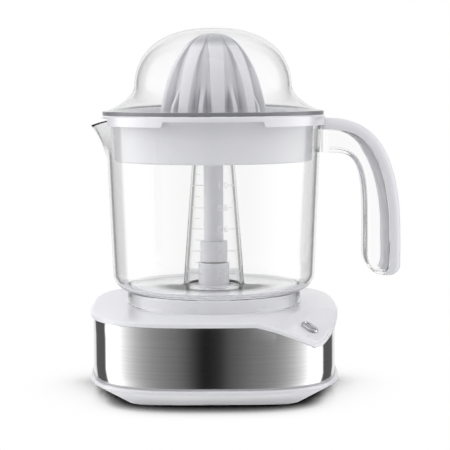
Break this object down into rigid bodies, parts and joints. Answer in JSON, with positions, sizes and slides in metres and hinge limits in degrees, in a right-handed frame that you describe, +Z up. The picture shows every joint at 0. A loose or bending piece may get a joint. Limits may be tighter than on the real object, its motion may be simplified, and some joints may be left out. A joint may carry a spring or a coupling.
{
  "type": "citrus press juicer",
  "caption": "Electric citrus press: steel-banded motor base, clear spouted jug with open handle, slotted strainer, fluted reamer and clear dome.",
  "frame": {"origin": "on the drive axis, at the level of the table under the feet", "axes": "+Z up along the drive axis, +X towards the handle, -X towards the spout, -Y towards the front with the indicator lamp"},
  "size_m": [0.2092, 0.179, 0.2455],
  "materials": {
    "white_plastic": "semi-gloss moulded",
    "clear_plastic": "clear, polished",
    "brushed_band": "brushed along the strip",
    "foot_rubber": "matt",
    "bright_steel": "bright",
    "lamp_bezel": "polished",
    "lamp_lens": "clear, polished",
    "lamp_glow": "translucent",
    "bearing_bronze": "sintered",
    "grey_plastic": "moulded",
    "gear_plastic": "moulded acetal",
    "magnet_ferrite": "ground ferrite",
    "core_steel": "stacked laminations",
    "coil_winding": "enamelled wire",
    "black_plastic": "moulded",
    "red_plastic": "moulded"
  },
  "bodies": {
    "base": {"top_cover": "white_plastic", "steel_band": "brushed_band", "base_pan": "white_plastic", "feet": "foot_rubber", "base_screws": "bright_steel", "indicator_bezel": "lamp_bezel", "indicator_lens": "lamp_lens", "indicator_lamp": "lamp_glow", "spindle_bush": "bearing_bronze", "gearbox_plate": "grey_plastic", "plate_screws": "bright_steel", "gear_pin": "bright_steel", "stator_core": "core_steel", "stator_coils": "coil_winding", "motor_bracket": "bright_steel", "motor_screws": "bright_steel", "micro_switch": "black_plastic", "cord_gland": "foot_rubber"},
    "jug": {"jug": "clear_plastic", "handle": "clear_plastic", "handle_spine": "white_plastic"},
    "strainer": {"strainer": "white_plastic"},
    "dust_cover": {"dust_cover": "clear_plastic"},
    "output_gear": {"output_gear": "gear_plastic"},
    "idler_gear": {"idler_gear": "gear_plastic"},
    "rotor": {"rotor_shaft": "bright_steel", "rotor_magnet": "magnet_ferrite", "rotor_pinion": "gear_plastic"},
    "drive_coupling": {"drive_coupling": "white_plastic"},
    "push_rod": {"push_rod": "bright_steel", "return_spring": "bright_steel"},
    "reamer": {"drive_shaft": "white_plastic", "reamer": "white_plastic"},
    "switch_button": {"switch_button": "red_plastic"}
  },
  "joints": [
    {"name": "jug_lift", "type": "slide", "parent": "base", "child": "jug", "axis": [0, 0, 1], "range_m": [0, 0.08]},
    {"name": "strainer_lift", "type": "slide", "parent": "jug", "child": "strainer", "axis": [0, 0, 1], "range_m": [0, 0.16]},
    {"name": "cover_lift", "type": "slide", "parent": "strainer", "child": "dust_cover", "axis": [0, 0, 1], "range_m": [0, 0.09]},
    {"name": "output_spin", "type": "hinge", "parent": "base", "child": "output_gear", "pos_m": [0, 0, 0.05], "axis": [0, 0, 1], "continuous": true},
    {"name": "idler_spin", "type": "hinge", "parent": "base", "child": "idler_gear", "pos_m": [-0.01349, -0.03338, 0.045], "axis": [0, 0, 1], "continuous": true},
    {"name": "rotor_spin", "type": "hinge", "parent": "base", "child": "rotor", "pos_m": [-0.03417, -0.01602, 0.03], "axis": [0, 0, 1], "continuous": true},
    {"name": "reamer_spin", "type": "hinge", "parent": "strainer", "child": "drive_coupling", "pos_m": [0, 0, 0.095], "axis": [0, 0, 1], "continuous": true},
    {"name": "rod_press", "type": "slide", "parent": "output_gear", "child": "push_rod", "axis": [0, 0, 1], "range_m": [-0.003, 0], "stiffness_N_per_m": 1500, "springref_m": 0.004, "deforming": ["return_spring"]},
    {"name": "reamer_press", "type": "slide", "parent": "drive_coupling", "child": "reamer", "axis": [0, 0, 1], "range_m": [-0.003, 0]},
    {"name": "button_press", "type": "slide", "parent": "base", "child": "switch_button", "axis": [0, 0, 1], "range_m": [-0.003, 0]}
  ],
  "couplings": [
    {"joint": "idler_spin", "follows": "output_spin", "ratio": -5},
    {"joint": "rotor_spin", "follows": "output_spin", "ratio": 17.5},
    {"joint": "reamer_spin", "follows": "output_spin", "ratio": 1},
    {"joint": "reamer_press", "follows": "rod_press", "ratio": 1},
    {"joint": "button_press", "follows": "rod_press", "ratio": 1}
  ]
}
